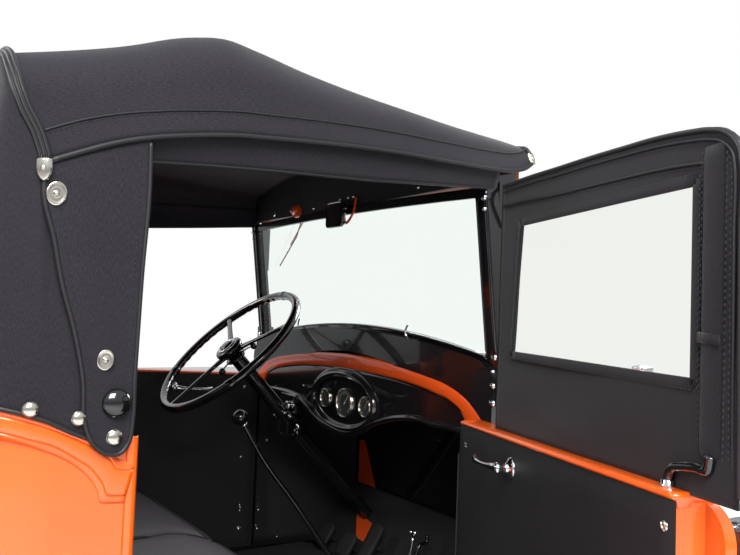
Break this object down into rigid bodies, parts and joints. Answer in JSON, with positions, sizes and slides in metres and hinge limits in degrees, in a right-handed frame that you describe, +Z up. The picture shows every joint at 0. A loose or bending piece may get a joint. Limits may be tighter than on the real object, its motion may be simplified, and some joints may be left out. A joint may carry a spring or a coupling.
{
  "type": "roadster pickup",
  "caption": "Open-cab light pickup of the early 1930s with a folding fabric top, wire wheels, a steel load box, opening doors, hood and tailgate, and steering that works.",
  "frame": {"origin": "on the floor, under the middle of the whole box with the right door open", "axes": "+X forward along the vehicle, +Y to its left, +Z up"},
  "size_m": [4.316, 2.0812, 1.77],
  "materials": {
    "body_paint": "gloss",
    "rail_paint": "gloss",
    "black_paint": "gloss",
    "chassis_paint": "satin",
    "spoke_paint": "gloss",
    "chrome": "polished",
    "tyre": "matte",
    "top_fabric": "coarse grain",
    "seat_vinyl": "satin",
    "trim_board": "matte",
    "hard_rubber": "gloss",
    "iron": "painted",
    "wood": "painted",
    "glass": "clear",
    "mat": "matte"
  },
  "bodies": {
    "chassis": {"back_curtain": "top_fabric", "back_panel": "body_paint", "bed": "body_paint", "bumpers": "chrome", "cowl": "black_paint", "dash_panel": "black_paint", "dash_rail": "rail_paint", "engine": "iron", "floor": "mat", "frame": "chassis_paint", "front_axle": "chassis_paint", "front_fenders": "black_paint", "grille": "black_paint", "lamps": "chrome", "levers": "chrome", "mirror": "black_paint", "quarter_left": "body_paint", "quarter_right": "body_paint", "radiator_shell": "chrome", "rear_axle": "chassis_paint", "rear_fenders": "black_paint", "running_boards": "black_paint", "seat_back": "seat_vinyl", "seat_cushion": "seat_vinyl", "steering_column": "black_paint", "top_cover": "top_fabric", "top_frame": "wood", "windshield_frame": "black_paint", "windshield_glass": "glass"},
    "knuckle_left": {"knuckle_left": "chassis_paint"},
    "knuckle_right": {"knuckle_right": "chassis_paint"},
    "front_left_wheel": {"wheel_front_left": "spoke_paint", "tyre_front_left": "tyre"},
    "front_right_wheel": {"wheel_front_right": "spoke_paint", "tyre_front_right": "tyre"},
    "rear_left_wheel": {"wheel_rear_left": "spoke_paint", "tyre_rear_left": "tyre"},
    "rear_right_wheel": {"wheel_rear_right": "spoke_paint", "tyre_rear_right": "tyre"},
    "hand_wheel": {"steering_wheel": "hard_rubber"},
    "left_door": {"door_left": "body_paint", "door_board_left": "trim_board"},
    "right_door": {"door_right": "body_paint", "door_board_right": "trim_board", "door_curtain_right": "top_fabric"},
    "left_hood": {"hood_left": "body_paint"},
    "right_hood": {"hood_right": "body_paint"},
    "tail_gate": {"tailgate": "body_paint"}
  },
  "joints": [
    {"name": "steer_left", "type": "hinge", "parent": "chassis", "child": "knuckle_left", "pos_m": [1.658, 0.80656, 0.362], "axis": [0, 0, 1], "range_deg": [-30, 30]},
    {"name": "steer_right", "type": "hinge", "parent": "chassis", "child": "knuckle_right", "pos_m": [1.658, -0.42944, 0.362], "axis": [0, 0, 1], "range_deg": [-30, 30]},
    {"name": "steering_wheel_turn", "type": "hinge", "parent": "chassis", "child": "hand_wheel", "pos_m": [0.352, 0.46956, 1.192], "axis": [-0.6884, 0, 0.7254], "range_deg": [-360, 360]},
    {"name": "spin_front_left", "type": "hinge", "parent": "knuckle_left", "child": "front_left_wheel", "pos_m": [1.658, 0.89856, 0.362], "axis": [0, 1, 0], "continuous": true},
    {"name": "spin_front_right", "type": "hinge", "parent": "knuckle_right", "child": "front_right_wheel", "pos_m": [1.658, -0.52144, 0.362], "axis": [0, 1, 0], "continuous": true},
    {"name": "spin_rear_left", "type": "hinge", "parent": "chassis", "child": "rear_left_wheel", "pos_m": [-1.112, 0.89856, 0.362], "axis": [0, 1, 0], "continuous": true},
    {"name": "spin_rear_right", "type": "hinge", "parent": "chassis", "child": "rear_right_wheel", "pos_m": [-1.112, -0.52144, 0.362], "axis": [0, 1, 0], "continuous": true},
    {"name": "door_left_swing", "type": "hinge", "parent": "chassis", "child": "left_door", "pos_m": [0.54, 0.74588, 0.85], "axis": [0, 0, -1], "range_deg": [0, 61.2]},
    {"name": "door_right_swing", "type": "hinge", "parent": "chassis", "child": "right_door", "pos_m": [0.54, -0.36877, 0.85], "axis": [0, 0, 1], "range_deg": [-61.2, 0]},
    {"name": "hood_left_lift", "type": "hinge", "parent": "chassis", "child": "left_hood", "pos_m": [0.899, 0.18856, 1.20891], "axis": [0.9961, 0, -0.0884], "range_deg": [0, 55]},
    {"name": "hood_right_lift", "type": "hinge", "parent": "chassis", "child": "right_hood", "pos_m": [0.899, 0.18856, 1.20891], "axis": [0.9961, 0, -0.0884], "range_deg": [-55, 0]},
    {"name": "tailgate_drop", "type": "hinge", "parent": "chassis", "child": "tail_gate", "pos_m": [-2.139, 0.18856, 0.661], "axis": [0, -1, 0], "range_deg": [0, 90]}
  ],
  "couplings": [
    {"joint": "steer_right", "follows": "steer_left", "ratio": 1},
    {"joint": "steering_wheel_turn", "follows": "steer_left", "ratio": 12}
  ]
}
